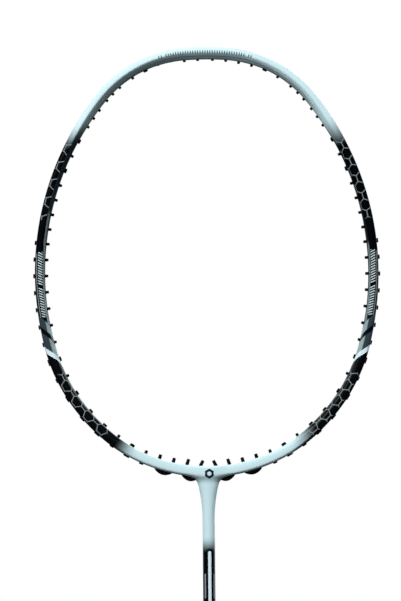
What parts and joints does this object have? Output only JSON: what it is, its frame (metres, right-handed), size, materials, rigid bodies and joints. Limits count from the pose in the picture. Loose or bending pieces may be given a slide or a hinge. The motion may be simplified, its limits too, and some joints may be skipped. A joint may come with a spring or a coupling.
{
  "type": "badminton racket",
  "caption": "Unstrung badminton racket: oval hollow head tube with string grommets, slim round shaft, cone and wrapped octagonal handle.",
  "frame": {"origin": "centre of the flat end of the butt", "axes": "+Z along the shaft from the butt to the top of the head, the string plane is XZ, the front face looks along -Y"},
  "size_m": [0.2056, 0.027, 0.675],
  "materials": {
    "frame_paint": "clear-coated ice-white paint with black panels over a carbon-fibre tube",
    "bare_carbon": "bare moulded carbon-fibre composite",
    "shaft_gloss": "clear-coated black and ice-white paint over a carbon-fibre tube",
    "gloss_black_plastic": "glossy black moulded plastic",
    "handle_wood": "plain light hardwood",
    "staple_steel": "plain steel wire",
    "grip_skin": "black soft synthetic leather, finely embossed",
    "tape_film": "thin pale vinyl tape",
    "badge_metal": "blank satin aluminium disc",
    "grommet_nylon": "black moulded nylon"
  },
  "bodies": {
    "root": {"butt_badge": "badge_metal", "butt_cap": "gloss_black_plastic", "cone_cap": "gloss_black_plastic", "finishing_tape": "tape_film", "grip_staple": "staple_steel", "grip_wrap": "grip_skin", "grommet_double_left_inner": "grommet_nylon", "grommet_double_left_outer": "grommet_nylon", "grommet_double_right_inner": "grommet_nylon", "grommet_double_right_outer": "grommet_nylon", "grommet_left_20": "grommet_nylon", "grommet_left_21": "grommet_nylon", "grommet_left_22": "grommet_nylon", "grommet_left_23": "grommet_nylon", "grommet_left_24": "grommet_nylon", "grommet_left_25": "grommet_nylon", "grommet_left_26": "grommet_nylon", "grommet_left_27": "grommet_nylon", "grommet_left_28": "grommet_nylon", "grommet_left_29": "grommet_nylon", "grommet_left_30": "grommet_nylon", "grommet_left_31": "grommet_nylon", "grommet_left_32": "grommet_nylon", "grommet_left_33": "grommet_nylon", "grommet_left_34": "grommet_nylon", "grommet_right_20": "grommet_nylon", "grommet_right_21": "grommet_nylon", "grommet_right_22": "grommet_nylon", "grommet_right_23": "grommet_nylon", "grommet_right_24": "grommet_nylon", "grommet_right_25": "grommet_nylon", "grommet_right_26": "grommet_nylon", "grommet_right_27": "grommet_nylon", "grommet_right_28": "grommet_nylon", "grommet_right_29": "grommet_nylon", "grommet_right_30": "grommet_nylon", "grommet_right_31": "grommet_nylon", "grommet_right_32": "grommet_nylon", "grommet_right_33": "grommet_nylon", "grommet_right_34": "grommet_nylon", "grommet_strip_left_shoulder": "grommet_nylon", "grommet_strip_left_side": "grommet_nylon", "grommet_strip_right_shoulder": "grommet_nylon", "grommet_strip_right_side": "grommet_nylon", "grommet_strip_top": "grommet_nylon", "handle_core": "handle_wood", "head_frame": "frame_paint", "shaft": "shaft_gloss", "t_joint": "bare_carbon", "throat_fairing": "frame_paint"}
  },
  "joints": []
}
